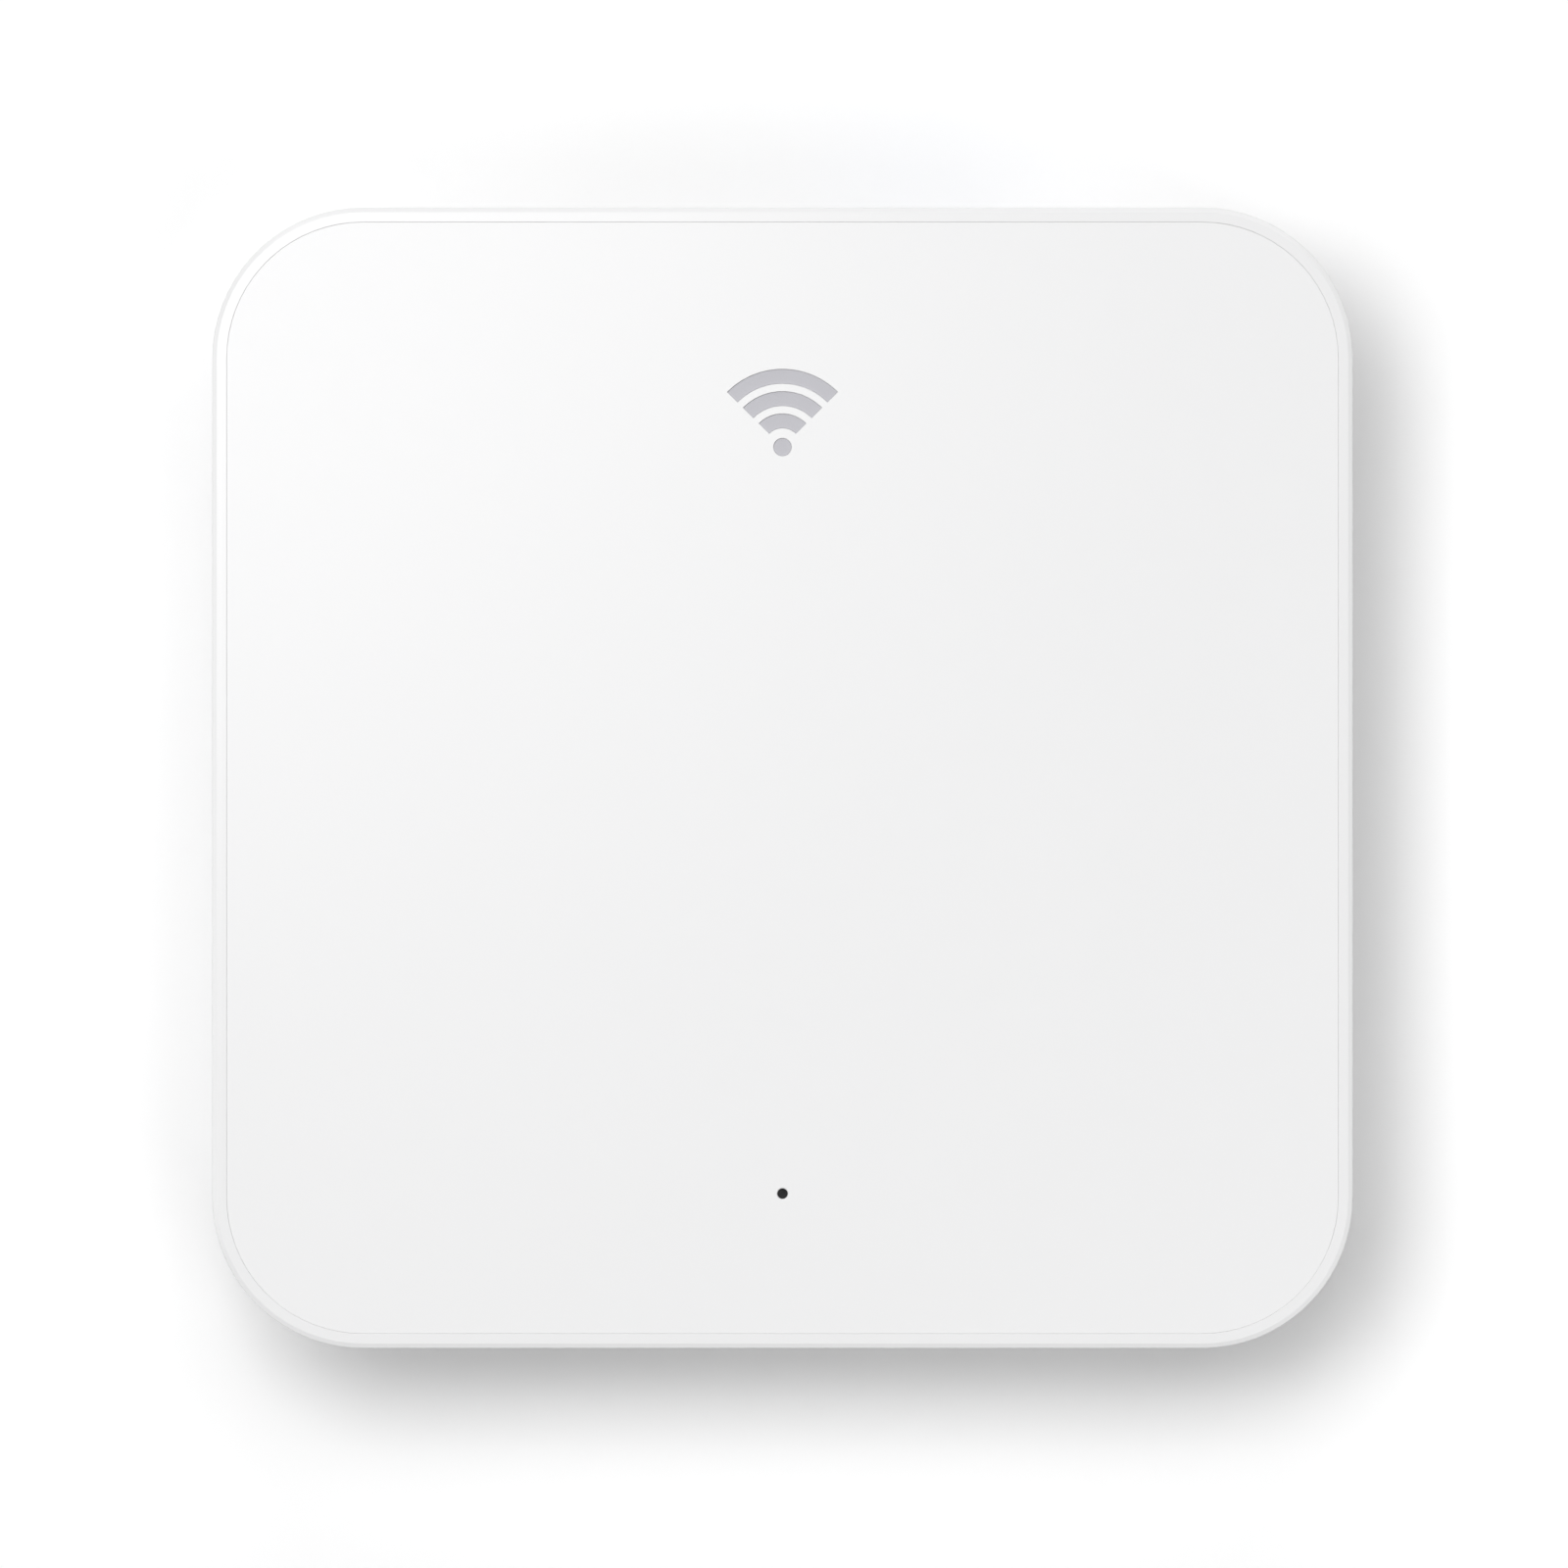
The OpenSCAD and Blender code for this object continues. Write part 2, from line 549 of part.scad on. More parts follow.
module dc_jack_housing() {
  color("#222224") translate([dc_x, flange_in - 0.1, z_top_board]) difference() {
    union() {
      box(-4.5, 4.5, -3.2, 0, 0, 11);
      box(-4, 4, -14, -3.2, 0, 6.5);
      ycyl(0, 6.5, 4, -14, -3.2);
      ycyl(0, 6.5, 3.75, -0.5, 2.2);
    }
    ycyl(0, 6.5, dc_bore_d/2, -9.8, 3);
    translate([0, 2.21, 6.5]) rotate([90, 0, 0]) cylinder(r1 = dc_bore_d/2 + 0.3, r2 = dc_bore_d/2, h = 0.35);
    ycyl(0, 6.5, dc_pin_d/2 + 0.27, -15, 0);
    box(-1.4, 1.4, -9.8, -1.6, 1.2, 5);
  }
}

module dc_jack_pin() {
  r = dc_pin_d/2;
  color("#d2d4d6") translate([dc_x, flange_in - 0.1, z_top_board]) {
    ycyl(0, 6.5, r, -10, 0.2);
    translate([0, 0.2, 6.5]) rotate([-90, 0, 0]) cylinder(r1 = r, r2 = r*0.6, h = 0.4);
    ycyl(0, 6.5, r + 0.25, -14.5, -9.6);
    ycyl(0, 6.5, r + 0.9, -14.9, -14.05);
  }
}

module dc_jack_spring() {
  color("#c8b98a") translate([dc_x - 1, flange_in - 0.1, z_top_board]) rotate([90, 0, 90])
    linear_extrude(2) strip([[-9.6, 1.36], [-8.4, 1.36], [-4.8, 4.1], [-2.5, 2], [-2.2, 1.36]], 0.3);
}

// ---- reset button and its switch ----

module reset_button() {
  color("#bfc0c3") {
    ycyl(reset_x, reset_z, reset_d/2, flange_in - 0.6, bay_face - 0.55);
    translate([reset_x, bay_face - 0.56, reset_z]) rotate([-90, 0, 0]) cylinder(r1 = reset_d/2, r2 = reset_d/2 - 0.25, h = 0.25);
    ycyl(reset_x, reset_z, 2.6, flange_in - 1.1, flange_in - 0.2);
    ycyl(reset_x, reset_z, 1, flange_in - 2.7, flange_in - 1);
  }
}

module reset_switch_plunger() { color("#1f1f21") ycyl(reset_x, reset_z, 0.85, flange_in - 6.1, flange_in - 2.7); }

module reset_switch_body() {
  color("#2b2b2e") translate([reset_x, flange_in, z_top_board]) difference() {
    union() {
      box(-2.9, 2.9, -8, -4.9, 0.3, 7.1);
      ycyl(0, 4.4, 1.6, -5, -4.5);
      for (s = [-1, 1]) box(s*2 - 0.35, s*2 + 0.35, -6.8, -6.2, 0, 0.5);
    }
    ycyl(0, 4.4, 0.95, -6.5, -4);
  }
}

module reset_switch_bracket() {
  color("#c4c6c9") translate([reset_x, flange_in, z_top_board]) difference() {
    box(-3.3, 3.3, -7.6, -5.3, 0, 7.5);
    box(-3, 3, -9, -4, -1, 7.2);
  }
}

// ---- aerials ----

module antenna(s) {
  translate([s*(hw - wall - 0.62), -2, 0]) {
    box(-0.4, 0.4, -20, 20, z_top_board + 3.4, z_top_board + 11.4);
    // printed arms and the feed pad
    x0 = s > 0 ? -0.43 : 0.38;
    box(x0, x0 + 0.05, -18.5, -1.5, z_top_board + 9, z_top_board + 10.6);
    box(x0, x0 + 0.05, 1.5, 18.5, z_top_board + 9, z_top_board + 10.6);
    box(x0, x0 + 0.05, -1.2, 1.2, z_top_board + 4.4, z_top_board + 10.6);
  }
}

module antenna_tapes() {
  color("#e6e4dc") for (s = [-1, 1]) translate([s*(hw - wall - 0.11), -2, 0])
    box(-0.1, 0.1, -17, 17, z_top_board + 4.4, z_top_board + 10.4);
}

module antenna_cable(s) {
  x1 = hw - wall - 1.64;
  color("#4b4c50") tube([
    [s*x1, -2, z_top_board + 6.2], [s*x1, -4, z_top_board + 4.2],
    [s*(x1 - 0.4), -7, z_top_board + 1.8], [s*(x1 - 1.6), -12, z_top_board + 0.62],
    [s*(x1 - 3), -18, z_top_board + 0.62], [s*(x1 - 6), -22, z_top_board + 0.62],
    [s*(x1 - 10.5), -22.5, z_top_board + 0.7], [s*(ufl[0] + 0.6), -19.5, z_top_board + 1],
    [s*ufl[0], -16, z_top_board + 1.24], [s*ufl[0], ufl[1] - 1.45, z_top_board + 1.25]], 0.56, 3, 8);
}

module antenna_sockets() {
  color("#c9a24a") for (s = [-1, 1]) translate([s*ufl[0], ufl[1], z_top_board]) {
    translate([-1.3, -1.3, 0]) cube([2.6, 2.6, 0.35]);
    difference() { cylinder(r = 1, h = 1.2); translate([0, 0, 0.35]) cylinder(r = 0.8, h = 2); }
    cylinder(r = 0.25, h = 1);
  }
}

module antenna_plugs() {
  color("#cdb06a") for (s = [-1, 1]) translate([s*ufl[0], ufl[1], z_top_board]) {
    difference() {
      translate([0, 0, 0.45]) cylinder(r = 1.3, h = 1.5);
      translate([0, 0, -1]) cylinder(r = 1.05, h = 2.4);
    }
    difference() {
      translate([-0.8, -2.4, 0.55]) cube([1.6, 1.4, 1.4]);
      cylinder(r = 1.05, h = 1.4);
      translate([0, -1.39, 1.25]) rotate([90, 0, 0]) cylinder(r = 0.62, h = 3);
    }
  }
}

top_panel();
side_frame();
bottom_cover();
port_panel();
top_mark();
status_light_pipe();
light_pipe_boot();
status_led();
rubber_feet();
base_label();
case_screws();
board_screws();
main_board();
main_processor();
thermal_pad();
heatsink();
memory_chip();
flash_chip();
radio_chip();
regulator_chips();
shield_cans();
network_transformers();
crystals();
power_inductors();
electrolytic_capacitors();
chip_passives();
color("#2f6fb0") jack_housing(wan_x);  // wan_jack_housing
color("#d9b45a") jack_contacts(wan_x);  // wan_jack_contacts
color("#222224") jack_housing(lan1_x);  // lan_jack_1_housing
color("#d9b45a") jack_contacts(lan1_x);  // lan_jack_1_contacts
color("#222224") jack_housing(lan2_x);  // lan_jack_2_housing
color("#d9b45a") jack_contacts(lan2_x);  // lan_jack_2_contacts
usb_shell();
usb_tongue();
usb_contacts();
dc_jack_housing();
dc_jack_pin();
dc_jack_spring();
reset_button();
reset_switch_plunger();
reset_switch_body();
reset_switch_bracket();
color("#2f6b46") antenna(-1);  // left_antenna
color("#2f6b46") antenna(1);  // right_antenna
antenna_tapes();
antenna_cable(-1);  // left_antenna_cable
antenna_cable(1);  // right_antenna_cable
antenna_sockets();
antenna_plugs();
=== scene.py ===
import json
import math

import bmesh
import bpy
from mathutils import Matrix, Vector


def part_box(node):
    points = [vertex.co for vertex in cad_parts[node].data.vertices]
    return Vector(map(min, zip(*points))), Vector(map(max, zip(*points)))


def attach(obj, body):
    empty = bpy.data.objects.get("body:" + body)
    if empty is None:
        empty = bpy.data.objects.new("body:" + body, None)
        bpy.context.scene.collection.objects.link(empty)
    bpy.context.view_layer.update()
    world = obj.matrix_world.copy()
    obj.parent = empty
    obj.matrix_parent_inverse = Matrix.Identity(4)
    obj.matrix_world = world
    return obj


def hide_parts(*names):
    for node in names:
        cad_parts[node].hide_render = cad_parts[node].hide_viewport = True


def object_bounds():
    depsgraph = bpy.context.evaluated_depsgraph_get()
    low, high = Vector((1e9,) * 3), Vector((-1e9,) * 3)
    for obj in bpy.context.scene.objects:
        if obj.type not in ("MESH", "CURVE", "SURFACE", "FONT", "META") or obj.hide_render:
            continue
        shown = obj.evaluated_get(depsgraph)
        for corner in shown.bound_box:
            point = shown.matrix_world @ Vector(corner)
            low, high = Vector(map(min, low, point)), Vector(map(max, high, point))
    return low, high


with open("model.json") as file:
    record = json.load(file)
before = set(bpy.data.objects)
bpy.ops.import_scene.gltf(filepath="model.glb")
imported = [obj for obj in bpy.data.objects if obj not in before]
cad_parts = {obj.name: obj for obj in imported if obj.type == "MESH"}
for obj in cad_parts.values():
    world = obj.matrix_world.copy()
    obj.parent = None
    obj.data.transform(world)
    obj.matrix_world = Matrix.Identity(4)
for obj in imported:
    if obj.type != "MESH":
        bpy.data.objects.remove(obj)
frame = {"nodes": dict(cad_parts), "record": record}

cad_lo, cad_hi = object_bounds()

NODES = frame["nodes"]
MM = 0.001
Z_TOP = cad_hi.z


# ------------------------------------------------------------------ materials

def _mat(name):
    m = bpy.data.materials.new(name)
    m.use_nodes = True
    nt = m.node_tree
    bsdf = nt.nodes["Principled BSDF"]
    return m, nt, bsdf


def _coord(nt):
    return nt.nodes.new("ShaderNodeTexCoord").outputs["Object"]


def _noise(nt, vec, per_mm, detail=2.0, rough=0.5, seed=0.0):
    """Noise whose features are about 1/per_mm millimetres apart."""
    n = nt.nodes.new("ShaderNodeTexNoise")
    n.noise_dimensions = "4D" if seed else "3D"
    if seed:
        n.inputs["W"].default_value = seed
    n.inputs["Scale"].default_value = per_mm * 1000.0
    n.inputs["Detail"].default_value = detail
    n.inputs["Roughness"].default_value = rough
    nt.links.new(vec, n.inputs["Vector"])
    return n.outputs["Fac"]


def _range(nt, fac, lo, hi, f0=0.3, f1=0.7):
    r = nt.nodes.new("ShaderNodeMapRange")
    r.inputs["From Min"].default_value = f0
    r.inputs["From Max"].default_value = f1
    r.inputs["To Min"].default_value = lo
    r.inputs["To Max"].default_value = hi
    nt.links.new(fac, r.inputs["Value"])
    return r.outputs["Result"]


def _mix(nt, fac, a, b):
    m = nt.nodes.new("ShaderNodeMix")
    m.data_type = "RGBA"
    if isinstance(fac, float):
        m.inputs["Factor"].default_value = fac
    else:
        nt.links.new(fac, m.inputs["Factor"])
    for i, c in ((6, a), (7, b)):
        if isinstance(c, (tuple, list)):
            m.inputs[i].default_value = (*c[:3], 1.0)
        else:
            nt.links.new(c, m.inputs[i])
    return m.outputs[2]


def _math(nt, op, a, b=None, clamp=False):
    m = nt.nodes.new("ShaderNodeMath")
    m.operation = op
    m.use_clamp = clamp
    for i, v in enumerate((a, b)):
        if v is None:
            continue
        if isinstance(v, (int, float)):
            m.inputs[i].default_value = v
        else:
            nt.links.new(v, m.inputs[i])
    return m.outputs[0]


def _bump(nt, bsdf, height, depth_mm, strength=1.0, chain=None):
    b = nt.nodes.new("ShaderNodeBump")
    b.inputs["Strength"].default_value = strength
    b.inputs["Distance"].default_value = depth_mm * MM
    nt.links.new(height, b.inputs["Height"])
    if chain is not None:
        nt.links.new(chain, b.inputs["Normal"])
    nt.links.new(b.outputs["Normal"], bsdf.inputs["Normal"])
    return b.outputs["Normal"]


def plastic(name, base, rough=0.45, rough_var=0.05, grain=4.0, grain_depth=0.012,
            tint=0.03, spec=0.5, coat=0.0):
    """Moulded plastic: a fine spark-eroded grain, slow shade drift and flow marks."""
    m, nt, b = _mat(name)
    co = _coord(nt)
    slow = _noise(nt, co, 0.035, 3.0, 0.5)
    fine = _noise(nt, co, grain, 2.0, 0.55)
    mid = _noise(nt, co, 0.35, 3.0, 0.6, 3.0)
    lo = tuple(c * (1 - tint) for c in base)
    hi = tuple(min(1.0, c * (1 + tint * 0.6)) for c in base)
    nt.links.new(_mix(nt, _range(nt, slow, 0.0, 1.0, 0.35, 0.65), lo, hi), b.inputs["Base Color"])
    r = _math(nt, "ADD", _range(nt, mid, rough - rough_var, rough + rough_var),
              _range(nt, fine, -0.02, 0.02))
    nt.links.new(r, b.inputs["Roughness"])
    _bump(nt, b, fine, grain_depth)
    b.inputs["Specular IOR Level"].default_value = spec
    b.inputs["IOR"].default_value = 1.49
    if coat:
        b.inputs["Coat Weight"].default_value = coat
        b.inputs["Coat Roughness"].default_value = 0.12
    return m


def metal(name, base, rough=0.28, streak=0.0, axis=(1, 0.05, 1), speck=0.06, depth=0.004):
    """Plated or drawn metal, with faint rolling streaks and handling haze."""
    m, nt, b = _mat(name)
    co = _coord(nt)
    mp = nt.nodes.new("ShaderNodeMapping")
    mp.inputs["Scale"].default_value = axis
    nt.links.new(co, mp.inputs["Vector"])
    lines = _noise(nt, mp.outputs["Vector"], 9.0, 3.0, 0.6)
    haze = _noise(nt, co, 0.45, 3.0, 0.6, 5.0)
    dark = tuple(c * (1 - speck * 2) for c in base)
    nt.links.new(_mix(nt, _range(nt, haze, 0.0, 1.0), base, dark), b.inputs["Base Color"])
    r = _math(nt, "ADD", _range(nt, haze, rough * 0.8, rough * 1.3),
              _range(nt, lines, -streak, streak), True)
    nt.links.new(r, b.inputs["Roughness"])
    b.inputs["Metallic"].default_value = 1.0
    _bump(nt, b, lines, depth)
    return m


def rubber(name, base, rough=0.75, grain=3.0, depth=0.02):
    m, nt, b = _mat(name)
    co = _coord(nt)
    fine = _noise(nt, co, grain, 3.0, 0.6)
    dust = _noise(nt, co, 0.5, 4.0, 0.65, 9.0)
    pale = tuple(min(1.0, c * 1.5 + 0.02) for c in base)
    nt.links.new(_mix(nt, _range(nt, dust, 0.0, 0.5), base, pale), b.inputs["Base Color"])
    nt.links.new(_range(nt, fine, rough - 0.08, min(0.98, rough + 0.08)), b.inputs["Roughness"])
    b.inputs["Specular IOR Level"].default_value = 0.35
    _bump(nt, b, fine, depth)
    return m


def board(name):
    """Solder mask over copper: a weave from the glass cloth and darker etched lanes."""
    m, nt, b = _mat(name)
    co = _coord(nt)
    br = nt.nodes.new("ShaderNodeTexBrick")
    br.inputs["Scale"].default_value = 1000.0
    br.inputs["Mortar Size"].default_value = 0.13
    br.inputs["Mortar Smooth"].default_value = 0.25
    br.inputs["Brick Width"].default_value = 3.4
    br.inputs["Row Height"].default_value = 0.62
    br.offset = 0.37
    br.squash = 1.0
    nt.links.new(co, br.inputs["Vector"])
    area = _noise(nt, co, 0.09, 2.0, 0.5, 2.0)
    lanes = _math(nt, "MULTIPLY", br.outputs["Fac"], _range(nt, area, 0.0, 1.0, 0.45, 0.5))
    mottle = _noise(nt, co, 0.6, 3.0, 0.5)
    copper = _mix(nt, _range(nt, mottle, 0.0, 1.0), (0.020, 0.135, 0.052), (0.026, 0.165, 0.066))
    bare = (0.012, 0.078, 0.030)
    nt.links.new(_mix(nt, lanes, copper, bare), b.inputs["Base Color"])
    nt.links.new(_range(nt, mottle, 0.24, 0.36), b.inputs["Roughness"])
    weave = _noise(nt, co, 2.2, 1.0, 0.5, 4.0)
    n1 = _bump(nt, b, lanes, -0.02)
    _bump(nt, b, weave, 0.004, 1.0, n1)
    return m


def glassy(name, base, rough=0.12):
    m, nt, b = _mat(name)
    co = _coord(nt)
    haze = _noise(nt, co, 0.8, 3.0, 0.6)
    nt.links.new(_mix(nt, _range(nt, haze, 0.0, 1.0), base, tuple(c * 1.3 for c in base)), b.inputs["Base Color"])
    nt.links.new(_range(nt, haze, rough, rough + 0.1), b.inputs["Roughness"])
    _bump(nt, b, _noise(nt, co, 2.5, 2.0, 0.5, 3.0), 0.002)
    return m


def label_film(name, base, ink, half, inset, line):
    """Blank satin label with one thin printed border line."""
    m, nt, b = _mat(name)
    co = _coord(nt)
    xyz = nt.nodes.new("ShaderNodeSeparateXYZ")
    nt.links.new(co, xyz.inputs[0])
    r = 1.8 - inset
    q = []
    for k in (0, 1):
        a = _math(nt, "ABSOLUTE", xyz.outputs[k])
        q.append(_math(nt, "SUBTRACT", a, (half[k] - inset - r) * MM))
    outer = _math(nt, "SQRT", _math(nt, "ADD", *[_math(nt, "POWER", _math(nt, "MAXIMUM", v, 0.0), 2.0) for v in q]))
    inner = _math(nt, "MINIMUM", _math(nt, "MAXIMUM", q[0], q[1]), 0.0)
    dist = _math(nt, "SUBTRACT", _math(nt, "ADD", outer, inner), r * MM)
    band = _math(nt, "LESS_THAN", _math(nt, "ABSOLUTE", dist), line * MM)
    mott = _noise(nt, co, 0.5, 3.0, 0.55)
    paper = _mix(nt, _range(nt, mott, 0.0, 1.0), base, tuple(c * 0.96 for c in base))
    nt.links.new(_mix(nt, band, paper, ink), b.inputs["Base Color"])
    nt.links.new(_range(nt, mott, 0.24, 0.32), b.inputs["Roughness"])
    _bump(nt, b, _noise(nt, co, 1.6, 2.0, 0.5, 6.0), 0.006)
    return m


M = {
    "white_panel": plastic("white_panel", (0.790, 0.790, 0.793), 0.31, 0.010, 5.0, 0.003, 0.002),
    "white_frame": plastic("white_frame", (0.790, 0.790, 0.793), 0.25, 0.010, 5.0, 0.003, 0.002),
    "white_base": plastic("white_base", (0.760, 0.760, 0.768), 0.58, 0.05, 3.2, 0.016, 0.015),
    "port_panel_white": plastic("port_panel_white", (0.740, 0.740, 0.748), 0.55, 0.05, 3.2, 0.014, 0.015),
    "mark_grey": plastic("mark_grey", (0.440, 0.436, 0.468), 0.42, 0.04, 5.0, 0.004, 0.02),
    "light_pipe": glassy("light_pipe", (0.012, 0.012, 0.013)),
    "black_rubber": rubber("black_rubber", (0.018, 0.018, 0.019)),
    "led_lens": glassy("led_lens", (0.86, 0.80, 0.60), 0.2),
    "foot_rubber": rubber("foot_rubber", (0.21, 0.21, 0.215), 0.78, 2.4, 0.03),
    "label_film": label_film("label_film", (0.56, 0.565, 0.58), (0.20, 0.20, 0.21), (17.7, 22.7), 1.1, 0.13),
    "screw_steel": metal("screw_steel", (0.48, 0.49, 0.51), 0.30, 0.05, (1, 1, 1), 0.12, 0.006),
    "circuit_board": board("circuit_board"),
    "chip_black": plastic("chip_black", (0.022, 0.022, 0.024), 0.55, 0.08, 6.0, 0.012, 0.12),
    "thermal_pad": rubber("thermal_pad", (0.40, 0.32, 0.50), 0.82, 2.0, 0.02),
    "heatsink_alloy": metal("heatsink_alloy", (0.075, 0.075, 0.082), 0.42, 0.08, (1, 0.04, 1), 0.08, 0.008),
    "tinned_steel": metal("tinned_steel", (0.66, 0.67, 0.69), 0.30, 0.07, (0.05, 1, 1), 0.06, 0.004),
    "transformer_black": plastic("transformer_black", (0.020, 0.020, 0.023), 0.48, 0.06, 5.0, 0.010, 0.12),
    "crystal_can": metal("crystal_can", (0.72, 0.72, 0.74), 0.24, 0.05, (1, 0.06, 1), 0.05, 0.003),
    "inductor_grey": rubber("inductor_grey", (0.085, 0.085, 0.090), 0.62, 4.0, 0.02),
    "capacitor_can": metal("capacitor_can", (0.56, 0.58, 0.62), 0.30, 0.05, (1, 1, 0.05), 0.05, 0.003),
    "passive_tan": plastic("passive_tan", (0.34, 0.24, 0.14), 0.42, 0.06, 5.0, 0.006, 0.15),
    "jack_blue": plastic("jack_blue", (0.020, 0.115, 0.340), 0.42, 0.05, 3.0, 0.010, 0.06),
    "jack_black": plastic("jack_black", (0.020, 0.020, 0.022), 0.44, 0.05, 3.0, 0.010, 0.12),
    "gold_contact": metal("gold_contact", (0.86, 0.62, 0.25), 0.22, 0.06, (1, 0.05, 1), 0.05, 0.002),
    "usb_steel": metal("usb_steel", (0.62, 0.63, 0.65), 0.26, 0.08, (0.05, 1, 1), 0.06, 0.004),
    "usb_insulator": plastic("usb_insulator", (0.74, 0.73, 0.69), 0.50, 0.05, 3.0, 0.008, 0.03),
    "nickel_pin": metal("nickel_pin", (0.70, 0.68, 0.65), 0.20, 0.05, (1, 0.05, 1), 0.04, 0.002),
    "spring_bronze": metal("spring_bronze", (0.66, 0.50, 0.28), 0.28, 0.06, (1, 0.05, 1), 0.06, 0.003),
    "button_grey": plastic("button_grey", (0.38, 0.38, 0.40), 0.46, 0.04, 4.0, 0.008, 0.02),
    "plunger_black": plastic("plunger_black", (0.018, 0.018, 0.018), 0.45, 0.05, 4.0, 0.008, 0.10),
    "switch_black": plastic("switch_black", (0.026, 0.026, 0.029), 0.50, 0.05, 4.0, 0.010, 0.10),
    "tape_white": rubber("tape_white", (0.70, 0.69, 0.65), 0.85, 1.4, 0.04),
    "coax_grey": rubber("coax_grey", (0.050, 0.050, 0.056), 0.55, 3.0, 0.010),
    "plug_gold": metal("plug_gold", (0.74, 0.56, 0.28), 0.26, 0.06, (1, 1, 1), 0.06, 0.003),
}

SLOT = {s["node"]: s["material_slot"] for s in frame["record"]["subparts"]}
for _name, _o in NODES.items():
    _m = M[SLOT[_name]]
    if not _o.material_slots:
        _o.data.materials.append(_m)
    for _s in _o.material_slots:
        _s.material = _m


# ----------------------------------------------------------------- mesh tools

def close_seam(bm, node):
    """Presses the panel's edge against the rim and makes their chamfers finer, so that only
    a hair line is left of the seam."""
    c0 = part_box("side_frame")[1].x - 14.5 * MM      # centre of the corner arcs
    panel = node == "top_panel"
    edge = (14.5 - 1.4 - 0.04 if panel else 14.5 - 1.4) * MM
    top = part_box(node)[1].z
    for v in bm.verts:
        c = Vector((max(abs(v.co.x) - c0, 0.0), max(abs(v.co.y) - c0, 0.0)))
        off = c.length - edge
        if v.co.z < top - 1.8 * MM or c.length == 0.0:
            continue
        at_top = v.co.z > top - 0.012 * MM
        step = 0.0
        if abs(off) < 0.012 * MM:
            if panel:
                step = 0.036 * MM
            if top - 0.06 * MM < v.co.z < top - 0.02 * MM:
                v.co.z = top - 0.03 * MM
        elif at_top and panel and abs(off + 0.04 * MM) < 0.012 * MM:
            step = 0.046 * MM
        elif at_top and not panel and abs(off - 0.04 * MM) < 0.012 * MM:
            step = -0.010 * MM
        if step:
            n = c.normalized() * step
            v.co.x += n.x * math.copysign(1.0, v.co.x)
            v.co.y += n.y * math.copysign(1.0, v.co.y)


def softened(node, width=0.12, segments=2, angle=28.0, merge=True, where=None, name=None):
    """The node again with its edges rounded as a moulding's are, to stand for the node.
    where(point) picks the edges to round; the others stay sharp."""
    src = NODES[node]
    bm = bmesh.new()
    bm.from_mesh(src.data)
    bmesh.ops.remove_doubles(bm, verts=bm.verts, dist=2e-6)
    if node in ("top_panel", "side_frame"):
        close_seam(bm, node)
    if merge:
        bmesh.ops.dissolve_limit(bm, angle_limit=math.radians(0.6), use_dissolve_boundaries=False,
                                 verts=bm.verts, edges=bm.edges, delimit={"NORMAL"})
    for f in bm.faces:
        f.smooth = True
    if where:
        lay = bm.edges.layers.float.new("bevel_weight_edge")
        for e in bm.edges:
            if len(e.link_faces) == 2 and e.calc_face_angle() > math.radians(angle):
                if where(e.verts[0].co) and where(e.verts[1].co):
                    e[lay] = 1.0
                else:
                    e.smooth = False
    me = bpy.data.meshes.new(name or node + "_moulded")
    bm.to_mesh(me)
    bm.free()
    o = bpy.data.objects.new(name or node + "_moulded", me)
    bpy.context.scene.collection.objects.link(o)
    b = o.modifiers.new("round", "BEVEL")
    b.width = width * MM
    b.segments = segments
    b.limit_method = "WEIGHT" if where else "ANGLE"
    b.angle_limit = math.radians(angle)
    b.use_clamp_overlap = True
    b.miter_outer = "MITER_SHARP" if where else "MITER_ARC"
    w = o.modifiers.new("normals", "WEIGHTED_NORMAL")
    w.keep_sharp = True
    w.weight = 60
    me.materials.append(M[SLOT[node]])
    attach(o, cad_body[node])
    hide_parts(node)
    return o


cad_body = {n: b for b, ns in frame["record"]["behaviour"]["bodies"].items() for n in ns}

JACK_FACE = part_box("wan_jack_housing")[1].y
at_mouth = lambda p: p.y > JACK_FACE - 0.01 * MM

softened("side_frame", 0.10, 3, angle=12.0)
for _n, _w, _k in (("bottom_cover", 0.15, 3), ("port_panel", 0.15, 3), ("top_panel", 0.03, 2),
                   ("usb_tongue", 0.12, 2), ("dc_jack_housing", 0.15, 3), ("reset_button", 0.1, 3),
                   ("case_screws", 0.08, 2), ("rubber_feet", 0.1, 2), ("base_label", 0.04, 2), ("top_mark", 0.03, 2)):
    softened(_n, _w, _k)
for _n in ("wan_jack_housing", "lan_jack_1_housing", "lan_jack_2_housing"):
    softened(_n, 0.14, 3, merge=False, where=at_mouth)
softened("usb_shell", 0.09, 2, merge=False, where=at_mouth)


# ---------------------------------------------------------------- floor, light

def floor():
    bm = bmesh.new()
    bmesh.ops.create_circle(bm, cap_ends=True, cap_tris=False, segments=96, radius=12.0)
    me = bpy.data.meshes.new("floor")
    bm.to_mesh(me)
    bm.free()
    o = bpy.data.objects.new("floor", me)
    bpy.context.scene.collection.objects.link(o)
    m, nt, b = _mat("floor_paper")
    b.inputs["Base Color"].default_value = (0.97, 0.97, 0.97, 1)
    b.inputs["Roughness"].default_value = 0.9
    b.inputs["Specular IOR Level"].default_value = 0.0
    me.materials.append(m)
    return o


def aim(o, tilt, azimuth):
    """Turns a light to shine from tilt degrees off straight up, azimuth degrees round from +X."""
    t, a = math.radians(tilt), math.radians(azimuth)
    up = Vector((math.sin(t) * math.cos(a), math.sin(t) * math.sin(a), math.cos(t)))
    o.rotation_mode = "QUATERNION"
    o.rotation_quaternion = up.to_track_quat("Z", "Y")
    return up


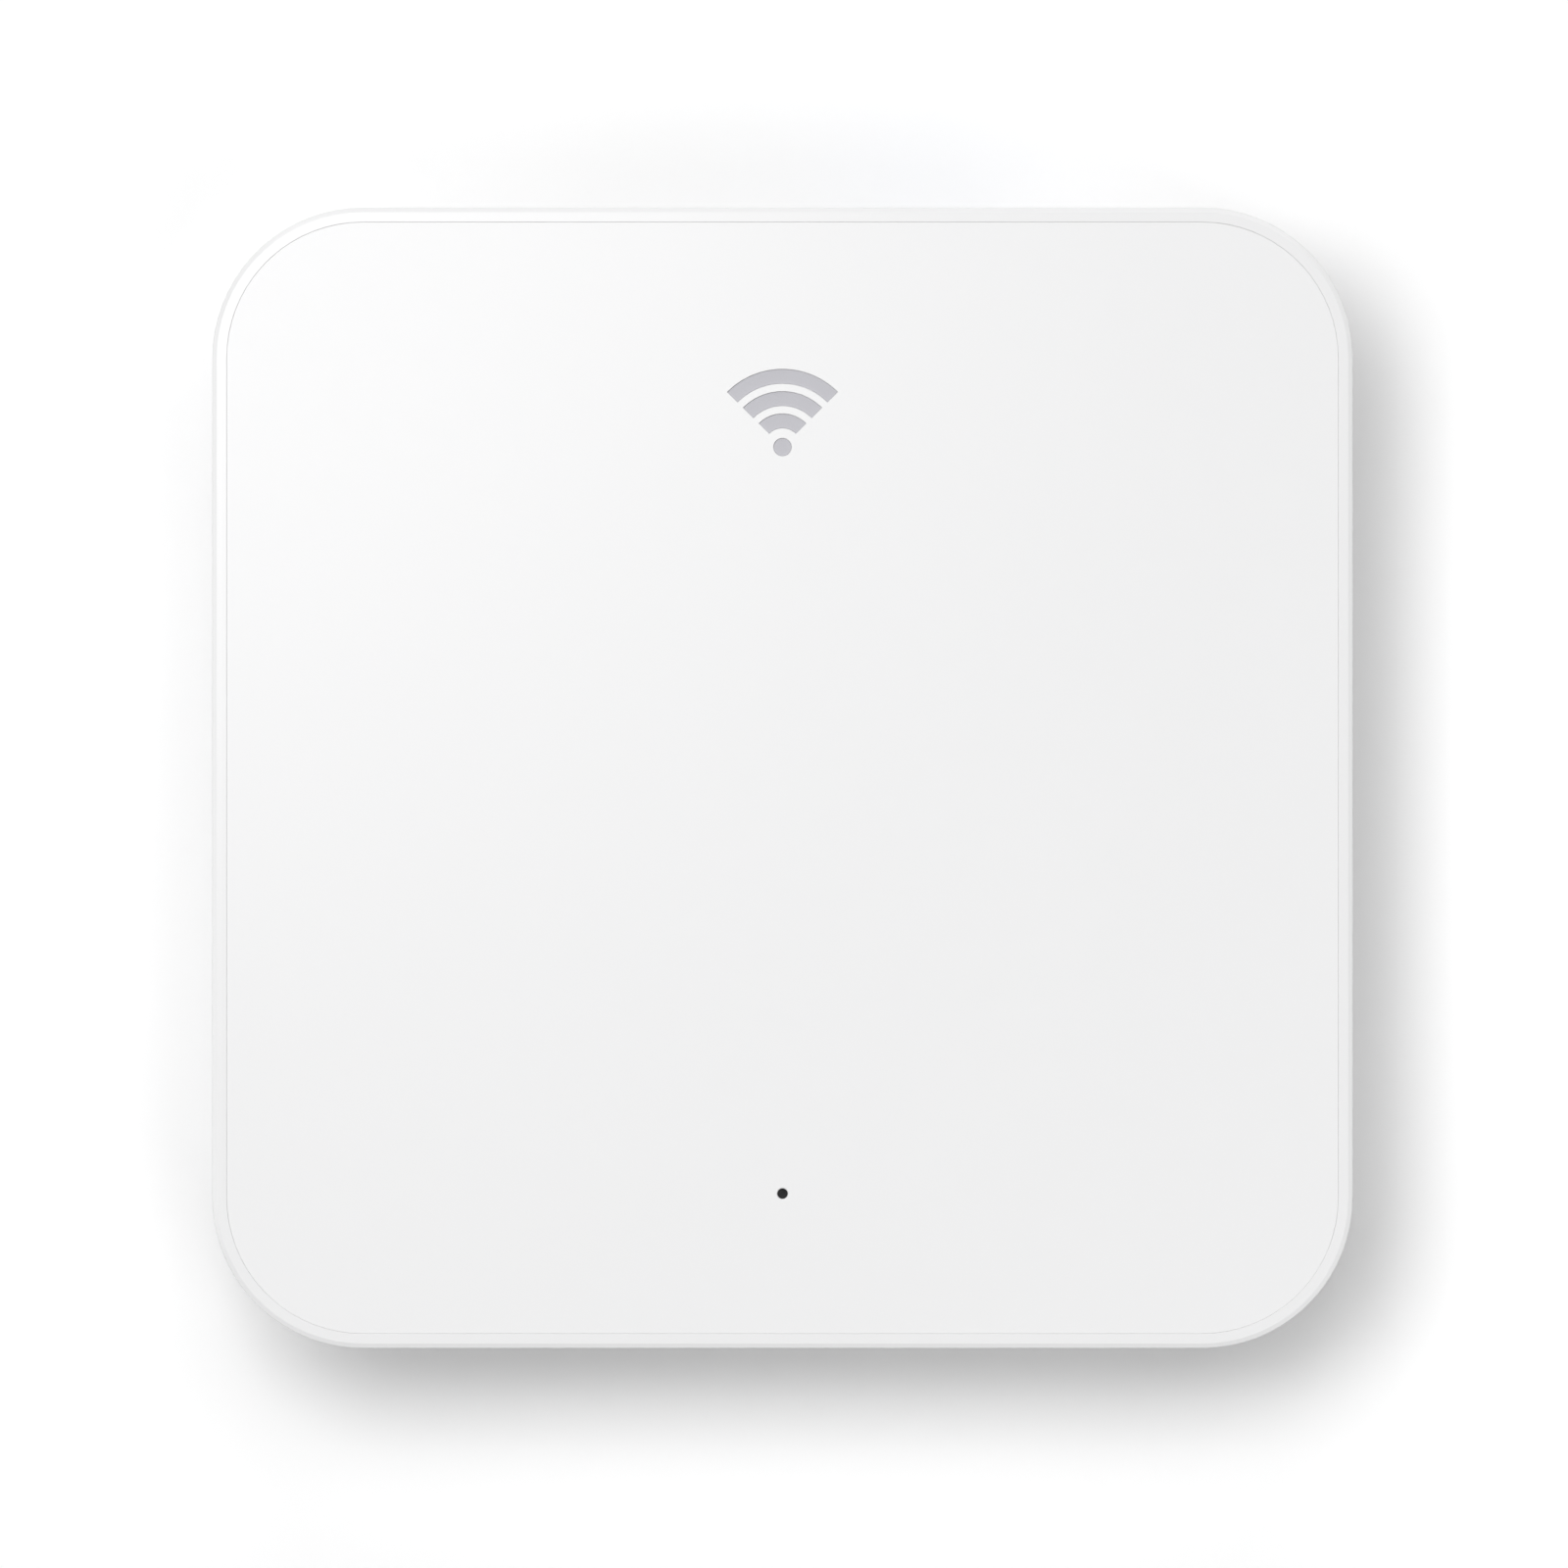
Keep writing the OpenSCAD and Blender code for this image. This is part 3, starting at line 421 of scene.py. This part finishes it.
def sun(name, tilt, azimuth, angle, strength):
    d = bpy.data.lights.new(name, "SUN")
    d.energy = strength
    d.angle = math.radians(angle)
    o = bpy.data.objects.new(name, d)
    bpy.context.scene.collection.objects.link(o)
    o.location = aim(o, tilt, azimuth)
    return o


def softbox(name, tilt, azimuth, distance, size, power):
    d = bpy.data.lights.new(name, "AREA")
    d.shape = "DISK"
    d.size = size
    d.energy = power
    o = bpy.data.objects.new(name, d)
    bpy.context.scene.collection.objects.link(o)
    o.location = aim(o, tilt, azimuth) * distance + Vector((0, 0, Z_TOP))
    o.visible_camera = False
    return o


floor()
sun("sky_left", 25, 180, 30, 0.681)
sun("sky_rear_left", 25, 120, 30, 0.589)
sun("sky_rear_right", 25, 60, 30, 0.600)
sun("sky_front_left", 25, 240, 30, 0.168)
sun("fill_rear", 72, 90, 30, 0.539)
softbox("key", 17.2, 135, 0.576, 0.24, 0.921)
softbox("fill_front", 30, 315, 0.60, 0.30, 0.682)

world = bpy.data.worlds.new("studio")
bpy.context.scene.world = world
world.use_nodes = True
wn = world.node_tree
bg = wn.nodes["Background"]
lp = wn.nodes.new("ShaderNodeLightPath")
seen = wn.nodes.new("ShaderNodeMix")
seen.data_type = "FLOAT"
seen.inputs[2].default_value = 0.02
seen.inputs[3].default_value = 0.15
wn.links.new(lp.outputs["Is Glossy Ray"], seen.inputs[0])
mx = wn.nodes.new("ShaderNodeMix")
mx.data_type = "FLOAT"
mx.inputs[3].default_value = 0.65
wn.links.new(seen.outputs[0], mx.inputs[2])
wn.links.new(lp.outputs["Is Camera Ray"], mx.inputs[0])
bg.inputs["Color"].default_value = (1, 1, 1, 1)
wn.links.new(mx.outputs[0], bg.inputs["Strength"])

cam_data = bpy.data.cameras.new("camera")
cam = bpy.data.objects.new("camera", cam_data)
bpy.context.scene.collection.objects.link(cam)
bpy.context.scene.camera = cam
LENS = 200.0
cam_data.lens = LENS
cam_data.sensor_width = 36.0
px = 110.0 / 1164.0 * MM
dist = px * 1600 * LENS / 36.0
cam.location = (1.5 * px, -6.25 * px, Z_TOP + dist)
cam_data.clip_start, cam_data.clip_end = 0.01, 50.0

sc = bpy.context.scene
sc.view_settings.view_transform = "Standard"
sc.view_settings.look = "None"
sc.view_settings.exposure = 0.0
sc.view_settings.gamma = 1.0
